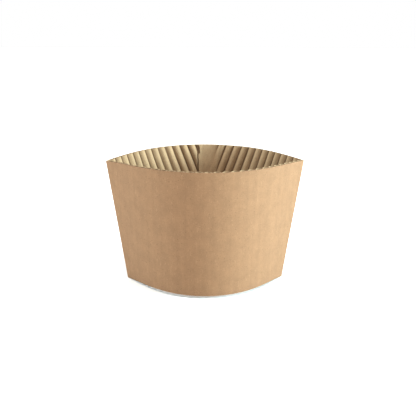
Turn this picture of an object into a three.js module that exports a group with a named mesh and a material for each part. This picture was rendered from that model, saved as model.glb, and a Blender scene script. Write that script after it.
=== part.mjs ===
// Corrugated paper sleeve for a hot takeaway cup, opened out and standing on its lower edge.
// Millimetres, +Z up. The front panel faces -Y, the glued seam is at the middle of the back,
// and the two side folds lie above the X axis. The origin is on the table, under the middle.

import * as THREE from 'three';
import { mergeVertices } from 'three/addons/utils/BufferGeometryUtils.js';

// The sleeve as it lies folded flat
const TOP_WIDTH = 131;
const BOTTOM_WIDTH = 106.8;
const SLANT_HEIGHT = 64;

// How far it is opened: a panel turns this much from fold to fold, most of it near its middle
const PANEL_TURN = THREE.MathUtils.degToRad(99.5);
const MIDDLE_BIAS = 1.52;
// A fold's bend runs this far along the paper on each side of the score line
const FOLD_REACH = 1.2;

// The two papers and the glue lines between them
const LINER_THICKNESS = 0.3;
const MEDIUM_THICKNESS = 0.25;
const PAPER_GAP = 0.12;
const LAP_GAP = 0.2;

// The flutes run parallel to the middle line of the front panel
const FLUTE_PITCH = 4.34;
const FLUTE_HEIGHT = 1.6;
const FIRST_CREST = 0.27;

// The back seam: the left end lies outside, the right end inside, both pressed flat there
const OUTER_LAP = 7.5;
const INNER_LAP = 2.7;
const SEAM_PRESSED = 5.9;
const PRESS_RAMP = 2.5;
const LAP_RAMP = 14;
const LAP_CLEARANCE = 0.5;

// How finely the surfaces are divided
const LINER_STEPS_PER_FLUTE = 2;
const MEDIUM_STEPS_PER_FLUTE = 6;
const ROWS = 4;
const SEAM_ROWS = 3;
const FOLD_STEPS = 4;
const PANEL_STATIONS = 240;
const LEAST_STEP = 0.2;
const MERGE_DISTANCE = 0.0005;

// The flat blank is part of a ring: its two arcs share one centre, where all straight lines
// of the opened sleeve meet too. Angles are measured there, from the front's middle line.
const PANEL_ANGLE = (TOP_WIDTH - BOTTOM_WIDTH) / SLANT_HEIGHT;
const FOLD_ANGLE = PANEL_ANGLE / 2;
const TOP_RADIUS = TOP_WIDTH / PANEL_ANGLE;
const BOTTOM_RADIUS = TOP_RADIUS - SLANT_HEIGHT;
const MIDDLE_RADIUS = (TOP_RADIUS + BOTTOM_RADIUS) / 2;
const LEFT_END = PANEL_ANGLE + OUTER_LAP / MIDDLE_RADIUS;
const RIGHT_END = PANEL_ANGLE + INNER_LAP / MIDDLE_RADIUS;
const FOLD_SWEEP = FOLD_REACH / MIDDLE_RADIUS;
const FLUTE_WAVE = (FLUTE_HEIGHT - MEDIUM_THICKNESS) / 2;
const LINING_DEPTH = LINER_THICKNESS + PAPER_GAP;
const LAP_SHIFT = LINING_DEPTH + MEDIUM_THICKNESS + LAP_GAP;
const LAP_FULL = Math.max(OUTER_LAP + LAP_CLEARANCE, SEAM_PRESSED + PRESS_RAMP);

// Right half of the front panel, from its middle line to the fold: a ray from the ring's centre
// and the paper's outward direction at each station. The paper only bends about these rays.
function bendPanel() {
  const step = FOLD_ANGLE / PANEL_STATIONS;
  const ray = new THREE.Vector3(0, 0, 1);
  const along = new THREE.Vector3(1, 0, 0);
  const stations = [{ ray: ray.clone(), outward: along.clone().cross(ray) }];
  for (let i = 0; i < PANEL_STATIONS; i++) {
    const angle = (i + 0.5) * step;
    const middleShare = (Math.PI / 2) * Math.cos((Math.PI * angle) / PANEL_ANGLE);
    const bend = (PANEL_TURN / PANEL_ANGLE) * (1 - MIDDLE_BIAS + MIDDLE_BIAS * middleShare);
    const change = ray.clone().cross(along).multiplyScalar(bend).sub(ray).multiplyScalar(step);
    ray.addScaledVector(along, step).addScaledVector(change, step / 2).normalize();
    along.add(change);
    along.addScaledVector(ray, -ray.dot(along)).normalize();
    stations.push({ ray: ray.clone(), outward: along.clone().cross(ray) });
  }
  // Lean the panel until the fold stands in the plane between front and back
  const xAxis = new THREE.Vector3(1, 0, 0);
  const lean = Math.atan2(ray.y, ray.z);
  for (const station of stations) {
    station.ray.applyAxisAngle(xAxis, lean);
    station.outward.applyAxisAngle(xAxis, lean);
  }
  return stations;
}

const stations = bendPanel();

function panelAt(angle) {
  const place = (angle / FOLD_ANGLE) * PANEL_STATIONS;
  const i = Math.min(Math.floor(place), PANEL_STATIONS - 1);
  const ray = stations[i].ray.clone().lerp(stations[i + 1].ray, place - i);
  const outward = stations[i].outward.clone().lerp(stations[i + 1].outward, place - i);
  return { ray, outward };
}

// The fold is a short curve between the two panels, drawn with the sharp corner as its handle
const foldStart = panelAt(FOLD_ANGLE - FOLD_SWEEP).ray;
const foldCorner = panelAt(FOLD_ANGLE).ray;
const foldEnd = foldStart.clone().setY(-foldStart.y);
const foldCurve = new THREE.QuadraticBezierCurve3(foldStart, foldCorner, foldEnd);
const foldMiddle = foldCurve.getPoint(0.5).normalize();

function foldAt(share) {
  const ray = foldCurve.getPoint(share);
  const outward = foldCurve.getTangent(share).cross(ray);
  return { ray, outward };
}

// Ray and outward direction of the opened sleeve for an angle across the flat blank
function openedAt(angle) {
  const turn = Math.abs(angle);
  const fromFold = turn - FOLD_ANGLE;
  let place;
  if (Math.abs(fromFold) < FOLD_SWEEP) {
    place = foldAt((fromFold + FOLD_SWEEP) / (2 * FOLD_SWEEP));
  } else if (fromFold < 0) {
    place = panelAt(turn);
  } else {
    const beforeMiddle = PANEL_ANGLE - turn;
    const side = new THREE.Vector3(Math.sign(beforeMiddle) || 1, -1, 1);
    place = panelAt(Math.abs(beforeMiddle));
    place.ray.multiply(side);
    place.outward.multiply(side);
  }
  const mirror = new THREE.Vector3(Math.sign(angle) || 1, 1, 1);
  place.ray.multiply(mirror).normalize();
  place.outward.multiply(mirror).normalize();
  return place;
}

// Distance past the middle of the back, negative before it
function pastBackMiddle(angle) {
  return (Math.abs(angle) - PANEL_ANGLE) * MIDDLE_RADIUS;
}

// How far the paper lies inside the outer face: the right end slips under the left one
function lapDepth(angle) {
  if (angle < 0) return 0;
  return LAP_SHIFT * THREE.MathUtils.smoothstep(pastBackMiddle(angle), -LAP_FULL - LAP_RAMP, -LAP_FULL);
}

// 1 where the flutes stand at full height, 0 where a fold or the seam has pressed them flat
function fluteOpenness(angle) {
  const fromFold = Math.abs(Math.abs(angle) - FOLD_ANGLE) * MIDDLE_RADIUS;
  const besideFold = THREE.MathUtils.smoothstep(fromFold, FOLD_REACH, FOLD_REACH + PRESS_RAMP);
  const pressedFrom = angle < 0 ? -INNER_LAP : -SEAM_PRESSED;
  const past = pastBackMiddle(angle);
  const inSeam = THREE.MathUtils.smoothstep(past, pressedFrom - PRESS_RAMP, pressedFrom);
  return besideFold * (1 - inSeam);
}

// Depths of a sheet's outer and inner face at a place on the blank
function linerFaces(x, angle) {
  const outer = lapDepth(angle);
  return [outer, outer + LINER_THICKNESS];
}

function liningFaces(x, angle) {
  const wave = FLUTE_WAVE * fluteOpenness(angle);
  const phase = (2 * Math.PI * (x - FIRST_CREST)) / FLUTE_PITCH;
  const slope = wave * ((2 * Math.PI) / FLUTE_PITCH) * Math.sin(phase);
  const half = (MEDIUM_THICKNESS / 2) * Math.hypot(1, slope);
  const middle = lapDepth(angle) + LINING_DEPTH + MEDIUM_THICKNESS / 2 + wave * (1 + Math.cos(phase));
  return [middle - half, middle + half];
}

// Straight lines of the mesh, along rays: beside the seam and across the folds, from the largest
// angle to the smallest, each with the number of cells between it and the line before
function rayLines() {
  const besideSeam = (distance, cells) => ({ angle: PANEL_ANGLE - distance / MIDDLE_RADIUS, cells });
  const lines = [
    besideSeam(INNER_LAP, SEAM_ROWS),
    besideSeam(INNER_LAP + PRESS_RAMP, 1),
    besideSeam(SEAM_PRESSED, 1),
    besideSeam(LAP_FULL, 1),
    besideSeam(LAP_FULL + LAP_RAMP, SEAM_ROWS),
    { angle: FOLD_ANGLE + FOLD_SWEEP, cells: ROWS },
  ];
  for (let i = 1; i <= FOLD_STEPS; i++) {
    lines.push({ angle: FOLD_ANGLE + FOLD_SWEEP * (1 - (2 * i) / FOLD_STEPS), cells: 1 });
  }
  return lines.sort((a, b) => b.angle - a.angle);
}

const lines = rayLines();

// Distances of the mesh columns from the middle line: along the flutes, and where a ray line
// or an end cut meets an arc
function columnPlaces(stepsPerFlute) {
  const left = -TOP_RADIUS * Math.sin(LEFT_END);
  const right = TOP_RADIUS * Math.sin(RIGHT_END);
  const places = [left, -BOTTOM_RADIUS * Math.sin(LEFT_END), BOTTOM_RADIUS * Math.sin(RIGHT_END), right];
  for (const { angle } of lines) {
    for (const radius of [BOTTOM_RADIUS, TOP_RADIUS]) {
      places.push(radius * Math.sin(angle), -radius * Math.sin(angle));
    }
  }
  const fixed = [...places];
  const step = FLUTE_PITCH / stepsPerFlute;
  for (let i = Math.ceil((left - FIRST_CREST) / step); FIRST_CREST + i * step < right; i++) {
    const x = FIRST_CREST + i * step;
    if (fixed.every((place) => Math.abs(place - x) > LEAST_STEP)) places.push(x);
  }
  return places.sort((a, b) => a - b);
}

// Heights on the flat blank of one column's mesh points, from the lower cut to the upper cut
function columnHeights(x) {
  const endCut = Math.abs(x) / Math.tan(x < 0 ? LEFT_END : RIGHT_END);
  const bottom = Math.max(Math.sqrt(BOTTOM_RADIUS ** 2 - x * x) || 0, endCut);
  const top = Math.max(Math.sqrt(TOP_RADIUS ** 2 - x * x), bottom);
  const heights = [];
  let from = bottom;
  for (const { angle, cells } of [...lines, { angle: 0, cells: ROWS }]) {
    const to = angle > 0 ? THREE.MathUtils.clamp(Math.abs(x) / Math.tan(angle), bottom, top) : top;
    for (let i = 0; i < cells; i++) heights.push(THREE.MathUtils.lerp(from, to, i / cells));
    from = to;
  }
  heights.push(top);
  return heights;
}

// A paper sheet as one closed solid: an outer and an inner face, joined along both cuts
function sheetGeometry(stepsPerFlute, faces) {
  const columns = columnPlaces(stepsPerFlute);
  const rows = columnHeights(0).length;
  const positions = [];
  for (const x of columns) {
    for (const y of columnHeights(x)) {
      const angle = Math.atan2(x, y);
      const { ray, outward } = openedAt(angle);
      for (const depth of faces(x, angle)) {
        const point = ray.clone().multiplyScalar(Math.hypot(x, y)).addScaledVector(outward, -depth);
        positions.push(point.x, point.y, point.z);
      }
    }
  }
  const index = [];
  const addQuad = (a, b, c, d) => index.push(a, b, c, a, c, d);
  const vertex = (column, row, face) => (column * rows + row) * 2 + face;
  for (let i = 0; i < columns.length - 1; i++) {
    for (let j = 0; j < rows - 1; j++) {
      addQuad(vertex(i, j, 0), vertex(i + 1, j, 0), vertex(i + 1, j + 1, 0), vertex(i, j + 1, 0));
      addQuad(vertex(i, j, 1), vertex(i, j + 1, 1), vertex(i + 1, j + 1, 1), vertex(i + 1, j, 1));
    }
    const top = rows - 1;
    addQuad(vertex(i, 0, 0), vertex(i, 0, 1), vertex(i + 1, 0, 1), vertex(i + 1, 0, 0));
    addQuad(vertex(i, top, 0), vertex(i + 1, top, 0), vertex(i + 1, top, 1), vertex(i, top, 1));
  }
  const loose = new THREE.BufferGeometry();
  loose.setAttribute('position', new THREE.Float32BufferAttribute(positions, 3));
  loose.setIndex(index);
  return withoutEmptyTriangles(mergeVertices(loose, MERGE_DISTANCE));
}

// Columns shrink to a point at the corners of the blank, and their triangles go with them
function withoutEmptyTriangles(geometry) {
  const old = geometry.index.array;
  const kept = [];
  for (let i = 0; i < old.length; i += 3) {
    const [a, b, c] = old.slice(i, i + 3);
    if (a !== b && b !== c && c !== a) kept.push(a, b, c);
  }
  geometry.setIndex(kept);
  geometry.computeVertexNormals();
  return geometry;
}

function namedMesh(name, geometry, color, roughness) {
  const material = new THREE.MeshStandardMaterial({ color, roughness, metalness: 0 });
  const mesh = new THREE.Mesh(geometry, material);
  mesh.name = name;
  return mesh;
}

const sleeve = new THREE.Group();
sleeve.add(namedMesh('outer_liner', sheetGeometry(LINER_STEPS_PER_FLUTE, linerFaces), '#c39c70', 0.85));
sleeve.add(namedMesh('fluted_lining', sheetGeometry(MEDIUM_STEPS_PER_FLUTE, liningFaces), '#c4a276', 0.9));

// The lower corners of the two folds touch the table
sleeve.position.z = -BOTTOM_RADIUS * foldMiddle.z;

export default sleeve;
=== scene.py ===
# %% [markdown]
# # A corrugated sleeve for a hot takeaway cup
# The sleeve is a curved strip of board, glued into a ring, folded flat for storage and then
# opened with the fingers. The board is two papers: a smooth liner outside and a fluted paper
# glued to it inside. The imported solids give the place and the size. Each paper is made again
# here with a much finer mesh, because the ridges of the flutes are what the eye goes to.

# %% Load the frame and bake its solids in place
import math

import bmesh
import bpy
import numpy as np
from mathutils import Color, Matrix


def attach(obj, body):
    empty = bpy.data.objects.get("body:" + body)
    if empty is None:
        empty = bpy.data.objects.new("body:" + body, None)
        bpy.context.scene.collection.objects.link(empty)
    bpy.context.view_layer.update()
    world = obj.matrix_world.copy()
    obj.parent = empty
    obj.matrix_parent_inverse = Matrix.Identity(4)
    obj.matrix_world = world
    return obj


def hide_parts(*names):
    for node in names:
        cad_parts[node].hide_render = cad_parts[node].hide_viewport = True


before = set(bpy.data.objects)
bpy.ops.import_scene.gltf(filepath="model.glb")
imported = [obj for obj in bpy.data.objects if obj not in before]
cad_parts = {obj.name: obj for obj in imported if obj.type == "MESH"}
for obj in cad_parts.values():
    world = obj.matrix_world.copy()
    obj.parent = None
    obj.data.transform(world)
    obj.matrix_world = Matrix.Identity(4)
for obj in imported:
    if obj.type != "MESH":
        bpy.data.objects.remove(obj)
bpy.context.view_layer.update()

# %% [markdown]
# ## The driving sizes
# They are the sizes that a maker of sleeves would give: the flat width at both edges, the
# height, the thickness of both papers, the pitch and height of the flutes, and the lap of the
# glued seam. PANEL_TURN is how far one panel turns from fold to fold once the sleeve is open,
# and MIDDLE_BIAS is how much of that bend lies near the panel's middle. Everything below is in
# metres and is worked out from these sizes.

# %% Sizes of the folded sleeve, its papers and its seam
MM = 0.001
TOP_WIDTH = 131 * MM
BOTTOM_WIDTH = 106.8 * MM
SLANT_HEIGHT = 64 * MM
PANEL_TURN = math.radians(99.5)
MIDDLE_BIAS = 1.52
FOLD_REACH = 1.2 * MM
LINER_THICKNESS = 0.3 * MM
MEDIUM_THICKNESS = 0.25 * MM
PAPER_GAP = 0.12 * MM
LAP_GAP = 0.2 * MM
FLUTE_PITCH = 4.34 * MM
FLUTE_HEIGHT = 1.6 * MM
FIRST_CREST = 0.27 * MM
OUTER_LAP = 7.5 * MM
INNER_LAP = 2.7 * MM
SEAM_PRESSED = 5.9 * MM
PRESS_RAMP = 2.5 * MM
LAP_RAMP = 14 * MM
LAP_CLEARANCE = 0.5 * MM

PANEL_ANGLE = (TOP_WIDTH - BOTTOM_WIDTH) / SLANT_HEIGHT
FOLD_ANGLE = PANEL_ANGLE / 2
TOP_RADIUS = TOP_WIDTH / PANEL_ANGLE
BOTTOM_RADIUS = TOP_RADIUS - SLANT_HEIGHT
MIDDLE_RADIUS = (TOP_RADIUS + BOTTOM_RADIUS) / 2
LEFT_END = PANEL_ANGLE + OUTER_LAP / MIDDLE_RADIUS
RIGHT_END = PANEL_ANGLE + INNER_LAP / MIDDLE_RADIUS
FOLD_SWEEP = FOLD_REACH / MIDDLE_RADIUS
LINING_DEPTH = LINER_THICKNESS + PAPER_GAP
LAP_SHIFT = LINING_DEPTH + MEDIUM_THICKNESS + LAP_GAP
LAP_FULL = max(OUTER_LAP + LAP_CLEARANCE, SEAM_PRESSED + PRESS_RAMP)
print(f"The blank is part of a ring of radius {TOP_RADIUS / MM:.0f} mm")

# %% [markdown]
# ## Bending the paper
# Paper bends but doesn't stretch, so the opened sleeve is a cone: all its straight lines meet
# where the two arcs of the flat blank have their centre. One could model the sleeve as a
# loft between two drawn curves, but then the paper would stretch. Here one panel is bent step
# by step, about rays from that centre, and the other three quarters are its mirror images.

# %% Bend half a panel, and mirror it round the sleeve
STATIONS = 400
FOLD_STATIONS = 16


def unit(vectors):
    return vectors / np.linalg.norm(vectors, axis=-1, keepdims=True)


def bent_panel():
    """Angles, rays and outward directions from the front's middle line to the fold.

    The tips of the rays draw a curve on a ball. Its length is the flat angle, so the paper
    doesn't stretch, and its curvature is the bend. Last, all rays lean until the fold's ray
    lies in the plane between front and back.
    """
    step = FOLD_ANGLE / STATIONS
    ray, along = np.array([0.0, 0, 1]), np.array([1.0, 0, 0])
    rays, outward = [ray], [np.cross(along, ray)]
    for i in range(STATIONS):
        middle_share = math.pi / 2 * math.cos(math.pi * (i + 0.5) * step / PANEL_ANGLE)
        bend = PANEL_TURN / PANEL_ANGLE * (1 - MIDDLE_BIAS + MIDDLE_BIAS * middle_share)
        change = step * (bend * np.cross(ray, along) - ray)
        ray = unit(ray + step * along + step / 2 * change)
        along = along + change
        along = unit(along - ray * (ray @ along))
        rays.append(ray)
        outward.append(np.cross(along, ray))
    lean = math.atan2(ray[1], ray[2])
    cosine, sine = math.cos(lean), math.sin(lean)
    upright = np.array([[1, 0, 0], [0, cosine, sine], [0, -sine, cosine]])
    angles = np.linspace(0, FOLD_ANGLE, STATIONS + 1)
    return angles, np.array(rays) @ upright, np.array(outward) @ upright


def bent_fold(start, corner):
    """The short curve across a fold, drawn with the sharp corner as its handle."""
    end = start * [1, -1, 1]
    share = np.linspace(0, 1, FOLD_STATIONS + 1)[:, None]
    rays = (1 - share) ** 2 * start + 2 * share * (1 - share) * corner + share**2 * end
    along = (1 - share) * (corner - start) + share * (end - corner)
    angles = FOLD_ANGLE - FOLD_SWEEP + 2 * FOLD_SWEEP * share[:, 0]
    return angles, unit(rays), unit(np.cross(along, rays))


def right_half():
    """From the front's middle line over the right fold to past the middle of the back."""
    angles, rays, outward = bent_panel()
    flat = angles < FOLD_ANGLE - FOLD_SWEEP
    start = [np.interp(FOLD_ANGLE - FOLD_SWEEP, angles, rays[:, i]) for i in range(3)]
    fold = bent_fold(np.array(start), rays[-1])
    panel = angles[flat], rays[flat], outward[flat]
    back = [PANEL_ANGLE - panel[0][::-1]] + [v[::-1] * [1, -1, 1] for v in panel[1:]]
    past = [PANEL_ANGLE + panel[0][1:]] + [v[1:] * [-1, -1, 1] for v in panel[1:]]
    return [np.concatenate(parts) for parts in zip(panel, fold, back, past)]


ANGLES, RAYS, OUTWARD = right_half()
FOOT = BOTTOM_RADIUS * np.interp(FOLD_ANGLE, ANGLES, RAYS[:, 2])


def direction_at(angle, table):
    """The right half's direction at each angle, mirrored where the angle is to the left."""
    side = np.where(angle < 0, -1.0, 1.0)
    mirror = np.stack([side, np.ones_like(side), np.ones_like(side)], -1)
    parts = [np.interp(abs(angle), ANGLES, table[:, i]) for i in range(3)]
    return unit(np.stack(parts, -1)) * mirror


print(f"The folds stand {2 * TOP_RADIUS * abs(RAYS[:, 0]).max() / MM:.1f} mm apart at the top")

# %% [markdown]
# ## A wobble for small faults
# Machine-made board is never quite even. The wobble is a sum of sines with fixed phases, each
# along its own direction, so the sleeve comes out the same each time. A noise texture with a
# displace modifier would do as well, but this one also shifts the flutes sideways.

# %% A sum of sines
WAVES = 5
SEED_TURN = 1.7
WAVE_TURN = 2.4
SLOWEST_RATE = 2
RATE_STEP = 0.9
PHASE_STEP = 1.3
WOBBLE_GAIN = 1.6


def wobble(x, y, span, seed):
    """A smooth, uneven value of about -1 to 1 that changes over the given span."""
    total = 0
    for i in range(1, WAVES + 1):
        turn = seed * SEED_TURN + i * WAVE_TURN
        along = (x * math.cos(turn) + y * math.sin(turn)) / span
        total = total + np.sin(along * (SLOWEST_RATE + RATE_STEP * i) + seed * i * PHASE_STEP)
    return total * WOBBLE_GAIN / WAVES


def smoothstep(value, low, high):
    """0 below low, 1 above high, and a smooth ramp between."""
    share = np.clip((value - low) / (high - low), 0, 1)
    return share * share * (3 - 2 * share)


# %% [markdown]
# ## Flutes, lap and torn end
# The fluted paper is a wave that is glued to the liner along its valleys, so it has round
# crests and narrow valleys. A fold or the seam presses it flat. At the seam the inner ply's
# end shows inside: it was cut a little ragged, it is torn near the upper edge, and it lifts
# off towards the cup. Lengths beside the seam are measured on the middle arc of the blank.

# %% Where the paper is pressed and lapped
EDGE_RAMP = 0.9 * MM


def past_back_middle(angle):
    """Distance past the middle of the back, along the middle arc."""
    return (abs(angle) - PANEL_ANGLE) * MIDDLE_RADIUS


def lap_depth(angle):
    """How far the inner ply has gone under the outer one."""
    inner = smoothstep(past_back_middle(angle), -LAP_FULL - LAP_RAMP, -LAP_FULL)
    return np.where(angle > 0, LAP_SHIFT * inner, 0)


def seam_share(angle):
    """1 where the seam presses the flutes flat, with a shorter ramp on the outer ply."""
    pressed_from = np.where(angle < 0, -INNER_LAP, -SEAM_PRESSED)
    ramp = np.where(angle < 0, EDGE_RAMP, PRESS_RAMP)
    return smoothstep(past_back_middle(angle), pressed_from - ramp, pressed_from)


def openness(angle):
    """1 where the flutes have their full height, 0 where they are pressed flat."""
    from_fold = abs(abs(angle) - FOLD_ANGLE) * MIDDLE_RADIUS
    return smoothstep(from_fold, FOLD_REACH, FOLD_REACH + PRESS_RAMP) * (1 - seam_share(angle))


# %% The inner ply's end
RAGGED = 0.22 * MM
RAGGED_SPAN = 3 * MM
TEAR_DEPTH = 0.9 * MM
TEAR_PLACE = 4.6 * MM
TEAR_STEP = 0.9 * MM
LIFTED_EDGE = 0.35 * MM
LIFT_REACH = 2.2 * MM
LIFT_WOBBLE = 0.4
LIFT_SPAN = 12 * MM


def ragged_angle(x, y, angle):
    """The cut end that shows inside isn't quite straight, and it's torn a little near the top."""
    near_end = smoothstep(past_back_middle(angle), -INNER_LAP / 2, INNER_LAP) * (angle > 0)
    below_rim = TOP_RADIUS - np.hypot(x, y)
    torn = smoothstep(below_rim, 0, TEAR_PLACE)
    torn = torn * smoothstep(-below_rim, -TEAR_PLACE - TEAR_STEP, -TEAR_PLACE)
    shift = RAGGED * wobble(0, y, RAGGED_SPAN, seed=3) - TEAR_DEPTH * torn
    return angle + near_end * shift / MIDDLE_RADIUS


def edge_lift(y, angle):
    """The free end of the inner ply stands off a little towards the cup."""
    near_end = smoothstep(past_back_middle(angle), INNER_LAP - LIFT_REACH, INNER_LAP) * (angle > 0)
    return near_end * LIFTED_EDGE * (1 - LIFT_WOBBLE + LIFT_WOBBLE * wobble(0, y, LIFT_SPAN, seed=5))


# %% The faces of both papers
HEIGHT_WOBBLE = 0.07
HEIGHT_SPAN = 9 * MM
PLACE_WOBBLE = 0.16 * MM
PLACE_SPAN = 30 * MM
PRESSED_WAVE = 0.07
CRUMPLE = 0.05 * MM
CRUMPLE_SPAN = 2.2 * MM
# How far up the flute sides the valleys' glue stain and painted shade reach.
VALLEY_STAIN_AND_SHADE_REACH = 0.42


def flute_turn(x, y):
    """The angle of the wave, 0 on a crest and a quarter turn in a valley."""
    place = x - FIRST_CREST + PLACE_WOBBLE * wobble(x, y, PLACE_SPAN, seed=2)
    return math.pi * place / FLUTE_PITCH


def liner_faces(x, y, angle):
    """Depths of the liner's outer and inner face below the sleeve's outer surface."""
    outer = lap_depth(angle) + edge_lift(y, angle)
    return outer, outer + LINER_THICKNESS


def lining_faces(x, y, angle):
    """Depths of the fluted paper's outer and inner face."""
    pressed = seam_share(angle) * (angle > 0)
    evenness = 1 - HEIGHT_WOBBLE * (1 + wobble(x, y, HEIGHT_SPAN, seed=1))
    height = (FLUTE_HEIGHT - MEDIUM_THICKNESS) * (openness(angle) + PRESSED_WAVE * pressed) * evenness
    turn = flute_turn(x, y)
    slope = height * math.pi / FLUTE_PITCH * np.sin(turn)
    half = MEDIUM_THICKNESS / 2 * np.hypot(1, slope)
    crumple = CRUMPLE * pressed * (1 + wobble(x, y, CRUMPLE_SPAN, seed=4))
    base = lap_depth(angle) + edge_lift(y, angle) + LINING_DEPTH + MEDIUM_THICKNESS / 2
    middle = base + height * abs(np.cos(turn)) + crumple
    return middle - half, middle + half


# The valley mask is partly a glue stain and partly painted shade in the grooves; it is 0 where the
# flutes are pressed flat.
def valley_stain_and_shade_mask(x, y, angle):
    """1 along the valleys, where the glue has soaked in and where shade is painted into the grooves,
    and 0 up the sides of the flutes.
    """
    rise = abs(np.cos(flute_turn(x, y)))
    return (1 - smoothstep(rise, 0, VALLEY_STAIN_AND_SHADE_REACH)) * openness(angle)


# %% [markdown]
# ## The mesh of a sheet
# Its columns run along the flutes, so every ridge is a clean line, and its rows run across
# them. Extra straight lines follow the folds and the seam, where the paper changes its shape
# at once. Columns shrink to a point at the corners of the blank, and merging by distance
# removes what is left of them. A curve modifier would be simpler, but it can't follow flutes
# that lean against the folds.

# %% Columns and rows on the flat blank
LINER_STEPS_PER_FLUTE = 4
MEDIUM_STEPS_PER_FLUTE = 14
ROWS = 22
SEAM_ROWS = 8
EDGE_ROWS = 3
RAMP_ROWS = 2
LAP_ROWS = 4
FOLD_STEPS = 8
LEAST_STEP = 0.1 * MM


def beside_seam(distance):
    """Angle of the straight line that lies this far before the middle of the back."""
    return PANEL_ANGLE - distance / MIDDLE_RADIUS


def ray_lines():
    """Angles of the straight lines, largest first, and the cells between each and the last."""
    lines = [
        (beside_seam(INNER_LAP), SEAM_ROWS),
        (beside_seam(INNER_LAP + EDGE_RAMP), EDGE_ROWS),
        (beside_seam(INNER_LAP + PRESS_RAMP), RAMP_ROWS),
        (beside_seam(SEAM_PRESSED), 1),
        (beside_seam(LAP_FULL), LAP_ROWS),
        (beside_seam(LAP_FULL + LAP_RAMP), SEAM_ROWS),
        (FOLD_ANGLE + FOLD_SWEEP, ROWS),
    ]
    for i in range(1, FOLD_STEPS + 1):
        lines.append((FOLD_ANGLE + FOLD_SWEEP * (1 - 2 * i / FOLD_STEPS), 1))
    return sorted(lines, reverse=True)


LINES = ray_lines()


def column_places(steps_per_flute):
    """Even steps across the flutes, and a column at each end of every straight line."""
    left, right = -TOP_RADIUS * math.sin(LEFT_END), TOP_RADIUS * math.sin(RIGHT_END)
    fixed = [left, -BOTTOM_RADIUS * math.sin(LEFT_END), BOTTOM_RADIUS * math.sin(RIGHT_END), right]
    for angle, _ in LINES:
        for radius in (BOTTOM_RADIUS, TOP_RADIUS):
            fixed += [radius * math.sin(angle), -radius * math.sin(angle)]
    step = FLUTE_PITCH / steps_per_flute
    first = math.ceil((left - FIRST_CREST) / step)
    even = FIRST_CREST + step * np.arange(first, (right - FIRST_CREST) / step)
    clear = abs(even[:, None] - np.array(fixed)).min(axis=1) > LEAST_STEP
    return np.sort(np.concatenate([fixed, even[clear]]))


def column_heights(x):
    """One row of mesh heights for each column, from the lower cut to the upper cut."""
    end_cut = abs(x) / np.tan(np.where(x < 0, LEFT_END, RIGHT_END))
    bottom = np.maximum(np.sqrt(np.maximum(BOTTOM_RADIUS**2 - x * x, 0)), end_cut)
    top = np.maximum(np.sqrt(TOP_RADIUS**2 - x * x), bottom)
    heights, start = [], bottom
    for angle, cells in LINES + [(0, ROWS)]:
        end = np.clip(abs(x) / math.tan(angle), bottom, top) if angle else top
        heights += [start + (end - start) * i / cells for i in range(cells)]
        start = end
    return np.stack(heights + [top], axis=1)


# %% From the flat blank to a closed mesh
MERGE_DISTANCE = 0.002 * MM
SHARP_ANGLE = math.radians(50)


def sheet_faces(columns, rows):
    """Quads of the outer face, the inner face, and the lower and upper cut."""
    grid = np.arange(columns * rows * 2).reshape(columns, rows, 2)
    a, b, c, d = grid[:-1, :-1], grid[1:, :-1], grid[1:, 1:], grid[:-1, 1:]
    outer = np.stack([a[..., 0], b[..., 0], c[..., 0], d[..., 0]], -1)
    inner = np.stack([a[..., 1], d[..., 1], c[..., 1], b[..., 1]], -1)
    low, high = grid[:, 0], grid[:, -1]
    lower = np.stack([low[:-1, 0], low[:-1, 1], low[1:, 1], low[1:, 0]], -1)
    upper = np.stack([high[:-1, 0], high[1:, 0], high[1:, 1], high[:-1, 1]], -1)
    return np.concatenate([part.reshape(-1, 4) for part in (outer, inner, lower, upper)])


def merge_and_smooth(mesh):
    """Merge the shrunken cells away, and smooth the paper but not its cut edges."""
    work = bmesh.new()
    work.from_mesh(mesh)
    bmesh.ops.remove_doubles(work, verts=work.verts, dist=MERGE_DISTANCE)
    work.to_mesh(mesh)
    work.free()
    mesh.shade_smooth()
    mesh.set_sharp_from_angle(angle=SHARP_ANGLE)


def sheet_mesh(name, steps_per_flute, faces):
    """Bend the flat mesh, and keep each point's place on the blank and its glue stain and painted
    shade.
    """
    columns = column_places(steps_per_flute)
    y = column_heights(columns)
    x = np.broadcast_to(columns[:, None], y.shape)
    angle = np.arctan2(x, y)
    bent_angle = ragged_angle(x, y, angle)
    on_cone = direction_at(bent_angle, RAYS) * np.hypot(x, y)[..., None]
    outward = direction_at(bent_angle, OUTWARD)
    points = [on_cone - outward * depth[..., None] for depth in faces(x, y, angle)]
    points = np.stack(points, axis=2).reshape(-1, 3) - [0, 0, FOOT]
    mesh = bpy.data.meshes.new(name)
    mesh.from_pydata(points.tolist(), [], sheet_faces(*y.shape).tolist())
    blank = mesh.attributes.new("blank", "FLOAT_VECTOR", "POINT")
    flat = np.stack([x, y, np.zeros_like(x)], -1)
    blank.data.foreach_set("vector", np.repeat(flat.reshape(-1, 3), 2, axis=0).ravel())
    # Each point's share of glue stain and of painted shade along the flute valleys.
    valley_stain_and_shade = mesh.attributes.new("valley_stain_and_shade", "FLOAT", "POINT")
    valley_stain_and_shade.data.foreach_set("value", np.repeat(valley_stain_and_shade_mask(x, y, angle).ravel(), 2))
    merge_and_smooth(mesh)
    return mesh


# %% [markdown]
# ## The two papers
# The liner is the smooth outer paper and the lining is the fluted one. Each stands where its
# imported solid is, and rides on the sleeve's only body.

# %% Make both sheets
def sheet(name, node, steps_per_flute, faces):
    """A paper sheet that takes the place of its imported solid."""
    mesh = sheet_mesh(name, steps_per_flute, faces)
    piece = bpy.data.objects.new(name, mesh)
    bpy.context.scene.collection.objects.link(piece)
    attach(piece, "root")
    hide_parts(node)
    print(f"{name}: {len(mesh.polygons)} faces")
    return piece


liner = sheet("outer_liner_paper", "outer_liner",
              LINER_STEPS_PER_FLUTE, liner_faces)
lining = sheet("fluted_lining_paper", "fluted_lining",
               MEDIUM_STEPS_PER_FLUTE, lining_faces)

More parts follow.
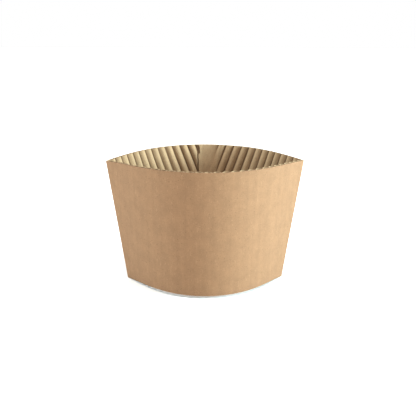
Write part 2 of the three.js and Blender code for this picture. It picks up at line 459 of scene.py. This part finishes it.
# %% [markdown]
# ## Writing shader maths in Python
# A material is a graph of nodes. Built one link at a time, even a short formula takes many
# lines, so a Wire wraps an output socket and its operators add the Math nodes. Every other
# node comes from Finish.node, which takes the type, the settings and the sockets.

# %% Wires and finishes
class Wire:
    """An output socket that takes part in arithmetic."""

    def __init__(self, finish, socket):
        self.finish = finish
        self.socket = socket

    def math(self, operation, first, second):
        return self.finish.node("ShaderNodeMath", {"operation": operation}, {0: first, 1: second})

    def __add__(self, other):
        return self.math("ADD", self, other)

    __radd__ = __add__

    def __sub__(self, other):
        return self.math("SUBTRACT", self, other)

    def __rsub__(self, other):
        return self.math("SUBTRACT", other, self)

    def __mul__(self, other):
        return self.math("MULTIPLY", self, other)

    __rmul__ = __mul__


class Finish:
    """A material under construction."""

    def __init__(self, name):
        self.material = bpy.data.materials.new(name)
        self.material.use_nodes = True
        self.material.node_tree.nodes.clear()

    def node(self, kind, settings, sockets, output=0):
        """Add a node with its settings, then the values or links of its sockets."""
        node = self.material.node_tree.nodes.new(kind)
        for key, value in settings.items():
            setattr(node, key, value)
        for key, value in sockets.items():
            if isinstance(value, Wire):
                self.material.node_tree.links.new(value.socket, node.inputs[key])
            else:
                node.inputs[key].default_value = value
        return Wire(self, node.outputs[output]) if node.outputs else None

    def noise(self, vector, scale, detail, roughness=0.5, distortion=0, stretch=None, turn=0):
        """Uneven values of about 0.5, stretched and then turned on the flat blank."""
        if stretch:
            sockets = {"Vector": vector, "Rotation": (0, 0, turn), "Scale": stretch}
            vector = self.node("ShaderNodeMapping", {"vector_type": "POINT"}, sockets)
        sockets = {"Vector": vector, "Scale": scale, "Detail": detail}
        sockets |= {"Roughness": roughness, "Distortion": distortion}
        return self.node("ShaderNodeTexNoise", {"noise_dimensions": "3D"}, sockets)

    def step(self, value, low, high):
        """0 below low, 1 above high."""
        settings = {"interpolation_type": "SMOOTHSTEP"}
        sockets = {"Value": value, "From Min": low, "From Max": high}
        return self.node("ShaderNodeMapRange", settings, sockets)

    def mix(self, share, first, second):
        """Mix two colours."""
        settings = {"data_type": "RGBA", "blend_type": "MIX"}
        return self.node("ShaderNodeMix", settings, {0: share, 6: first, 7: second}, output=2)

    def in_millimetres(self, vector):
        settings = {"operation": "SCALE"}
        return self.node("ShaderNodeVectorMath", settings, {0: vector, "Scale": 1 / MM})

    def surface(self, sockets):
        shader = self.node("ShaderNodeBsdfPrincipled", {}, sockets)
        self.node("ShaderNodeOutputMaterial", {}, {"Surface": shader})


# %% [markdown]
# ## Kraft paper
# Both papers are unbleached kraft. Seen close, it is a felt of long wood fibres, some light and
# some dark, with specks of bark, and it is cloudy where the pulp settled thicker. All of it is
# laid out on the flat blank, whose coordinates the mesh carries as an attribute, so the fibres
# bend with the paper. The fine grain uses the place in space. Scales are per millimetre.

# %% The patterns of the pulp, and how strong each one is
CLOUDS = dict(scale=0.16, detail=4, roughness=0.6)
GRAIN = dict(scale=2.6, detail=4, roughness=0.65)
STREAKS = dict(scale=1, detail=2, stretch=(0.45, 0.02, 1))
LONG_FIBRES = dict(scale=1, detail=3, roughness=0.6, distortion=1.2, stretch=(2.4, 0.35, 1))
CROSS_FIBRES = dict(scale=1, detail=3, roughness=0.6, distortion=1.4, stretch=(0.5, 2.8, 1), turn=0.6)
SPECKS = dict(scale=1.7, detail=1, roughness=0.4)
FLECKS = dict(scale=1.3, detail=1, roughness=0.4, distortion=0.6, stretch=(1.1, 3, 1), turn=0.9)

TONE_RANGE = (0.36, 0.64)
FIBRE_RANGE = (0.56, 0.74)
SPECK_RANGE = (0.68, 0.74)
FLECK_RANGE = (0.66, 0.72)
CLOUD_TONE = 0.5
GRAIN_TONE = 0.3
STREAK_TONE = 0.2
DARKEST_TONE = 0.88
LONG_FIBRE_SHARE = 0.5
CROSS_FIBRE_SHARE = 0.4
SPECK_SHARE = 0.6
FLECK_SHARE = 0.5
LONG_FIBRE_RELIEF = 0.4
CROSS_FIBRE_RELIEF = 0.3
GRAIN_RELIEF = 0.3
RELIEF_HEIGHT = 0.12 * MM
ROUGHNESS_SPREAD = 0.16
PAPER_SPECULAR = 0.25
CHANNEL_FULL = 255


# %% A kraft finish
def colour(red, green, blue):
    """An sRGB colour of 0 to 255 as the linear colour that a shader takes."""
    encoded = Color((red / CHANNEL_FULL, green / CHANNEL_FULL, blue / CHANNEL_FULL))
    return (*encoded.from_srgb_to_scene_linear(), 1)


def kraft(name, paper, light_fibre, dark_fibre, bark, rough, relief, valley_stain_and_shade_strength):
    """Kraft paper in the given colours, with bark's colour also along the flute valleys, as a glue
    stain and as painted shade in the grooves.
    """
    finish = Finish(name)
    blank = finish.node("ShaderNodeAttribute", {"attribute_name": "blank"}, {}, output=1)
    blank = finish.in_millimetres(blank)
    space = finish.in_millimetres(finish.node("ShaderNodeNewGeometry", {}, {}))
    grain = finish.noise(space, **GRAIN)
    along = finish.noise(blank, **LONG_FIBRES)
    across = finish.noise(blank, **CROSS_FIBRES)

    tone = finish.noise(blank, **CLOUDS) * CLOUD_TONE + grain * GRAIN_TONE
    tone = finish.step(tone + finish.noise(blank, **STREAKS) * STREAK_TONE, *TONE_RANGE)
    darkest = tuple(DARKEST_TONE * channel for channel in paper[:3]) + (1,)
    base = finish.mix(tone, darkest, paper)
    base = finish.mix(finish.step(along, *FIBRE_RANGE) * LONG_FIBRE_SHARE, base, light_fibre)
    base = finish.mix(finish.step(1 - across, *FIBRE_RANGE) * CROSS_FIBRE_SHARE, base, dark_fibre)
    specks = finish.step(finish.noise(blank, **SPECKS), *SPECK_RANGE)
    base = finish.mix(specks * SPECK_SHARE, base, bark)
    flecks = finish.step(finish.noise(blank, **FLECKS), *FLECK_RANGE)
    base = finish.mix(flecks * FLECK_SHARE, base, light_fibre)
    valley_stain_and_shade = finish.node("ShaderNodeAttribute", {"attribute_name": "valley_stain_and_shade"}, {}, output=2)
    # Painted shade: bark's colour darkens the flute valleys, besides the glue that soaked in there.
    base = finish.mix(valley_stain_and_shade * valley_stain_and_shade_strength, base, bark)

    height = along * LONG_FIBRE_RELIEF + across * CROSS_FIBRE_RELIEF + grain * GRAIN_RELIEF
    sockets = {"Height": height, "Strength": relief, "Distance": RELIEF_HEIGHT}
    normal = finish.node("ShaderNodeBump", {}, sockets)
    roughness = rough + (grain - 0.5) * ROUGHNESS_SPREAD
    finish.surface({"Base Color": base, "Roughness": roughness, "Normal": normal,
                    "Specular IOR Level": PAPER_SPECULAR})
    return finish.material


# %% The liner and the fluted paper
# The liner takes the valley lines only faintly, as glue showing through and as painted shade.
liner_finish = kraft(
    "kraft_liner", paper=colour(137, 105, 78), light_fibre=colour(159, 127, 98),
    dark_fibre=colour(110, 79, 54), bark=colour(84, 55, 34), rough=0.82, relief=0.35,
    valley_stain_and_shade_strength=0.04)
# On the fluted paper the valleys take bark's colour almost fully: painted shade in the grooves, with
# some glue stain.
lining_finish = kraft(
    "kraft_fluting", paper=colour(160, 133, 103), light_fibre=colour(179, 153, 123),
    dark_fibre=colour(123, 98, 70), bark=colour(88, 66, 45), rough=0.88, relief=0.45,
    valley_stain_and_shade_strength=0.95)
liner.data.materials.append(liner_finish)
lining.data.materials.append(lining_finish)
print("Finishes:", liner_finish.name, lining_finish.name)

# %% [markdown]
# ## The floor and the light
# The sleeve stands on a plain pale floor. A soft lamp on the right is the key, a weaker one on
# the left fills, and one far above reaches the flutes at the back. Both lamps stand at the
# sides, so the middle of the front stays darker than its sides. A pale sky lights the rest.

# %% Floor
FLOOR_SIZE = 6.0
FLOOR_CLOUDS = dict(scale=30, detail=2)
FLOOR_ROUGHNESS = 0.9


def floor():
    mesh = bpy.data.meshes.new("floor")
    half = FLOOR_SIZE / 2
    corners = [(-half, -half, 0), (half, -half, 0), (half, half, 0), (-half, half, 0)]
    mesh.from_pydata(corners, [], [(0, 1, 2, 3)])
    finish = Finish("pale_floor")
    clouds = finish.noise(finish.node("ShaderNodeNewGeometry", {}, {}), **FLOOR_CLOUDS)
    shade = finish.mix(clouds, colour(221, 218, 214), colour(225, 222, 218))
    finish.surface({"Base Color": shade, "Roughness": FLOOR_ROUGHNESS})
    mesh.materials.append(finish.material)
    piece = bpy.data.objects.new("floor", mesh)
    bpy.context.scene.collection.objects.link(piece)


floor()

# %% Lights
LIT_POINT = (0, 0, 35 * MM)


def facing(direction):
    """Euler angles of a lamp or camera that looks along a direction."""
    x, y, z = unit(np.array(direction, float))
    return (math.acos(-z), 0, math.atan2(-x, y))


def add_lamp(name, kind, power, direction):
    data = bpy.data.lights.new(name, kind)
    data.energy = power
    lamp = bpy.data.objects.new(name, data)
    bpy.context.scene.collection.objects.link(lamp)
    lamp.rotation_euler = facing(direction)
    return lamp


def side_lamp(name, place, size, power, tint):
    """A square soft lamp that faces the middle of the sleeve."""
    lamp = add_lamp(name, "AREA", power, np.subtract(LIT_POINT, place))
    lamp.location = place
    lamp.data.size = size
    lamp.data.color = tint


def overhead(name, direction, spread, strength):
    """A wide soft light from far above, equal everywhere on the floor."""
    add_lamp(name, "SUN", strength, direction).data.angle = spread


side_lamp("key_right", place=(0.925, -0.275, 0.29), size=0.4, power=24, tint=(0.84, 1.13, 1.24))
side_lamp("fill_left", place=(-0.97, -0.12, 0.29), size=0.5, power=9.6, tint=(0.88, 1.16, 1.28))
overhead("overhead_soft", direction=(0, 0.14, -0.99), spread=math.radians(50), strength=2.6)

# %% Sky and view
SKY_STRENGTH = 1.0
VIEW_GAMMA = 0.86

world = bpy.data.worlds.new("pale_sky")
world.use_nodes = True
sky = world.node_tree.nodes["Background"]
sky.inputs["Color"].default_value = (1, 1, 1, 1)
sky.inputs["Strength"].default_value = SKY_STRENGTH
bpy.context.scene.world = world
display = bpy.context.scene.view_settings
display.view_transform = "Standard"
display.gamma = VIEW_GAMMA

# %% [markdown]
# ## The camera
# It looks at the sleeve from a little above, with a short telephoto lens. The numbers come
# from fitting the corners and rims of the bent sheet to the reference view: distance, height
# and lens are set together, since they change the outline together.

# %% Camera
SENSOR = 36.0
FRAME_PIXELS = 416
LENS_PIXELS = 657.5
NEAR_CLIP = 10 * MM
DISTANCE = 342.7 * MM
PITCH = 0.2769
YAW = 0.0344
ROLL = 0.0046
AIM_RIGHT = 1.45 * MM
AIM_UP = 3.11 * MM


def camera():
    data = bpy.data.cameras.new("camera")
    data.sensor_width = SENSOR
    data.lens = SENSOR * LENS_PIXELS / FRAME_PIXELS
    data.clip_start = NEAR_CLIP
    level = math.cos(PITCH)
    look = np.array([math.sin(YAW) * level, math.cos(YAW) * level, -math.sin(PITCH)])
    aim = np.array([AIM_RIGHT, 0, MIDDLE_RADIUS + AIM_UP - FOOT])
    eye = bpy.data.objects.new("camera", data)
    bpy.context.scene.collection.objects.link(eye)
    eye.location = aim - DISTANCE * look
    eye.rotation_euler = facing(look)
    eye.rotation_euler.rotate_axis("Z", ROLL)
    bpy.context.scene.camera = eye
    print(f"Lens {data.lens:.1f} mm, aim {aim[2] / MM:.1f} mm above the floor")


camera()
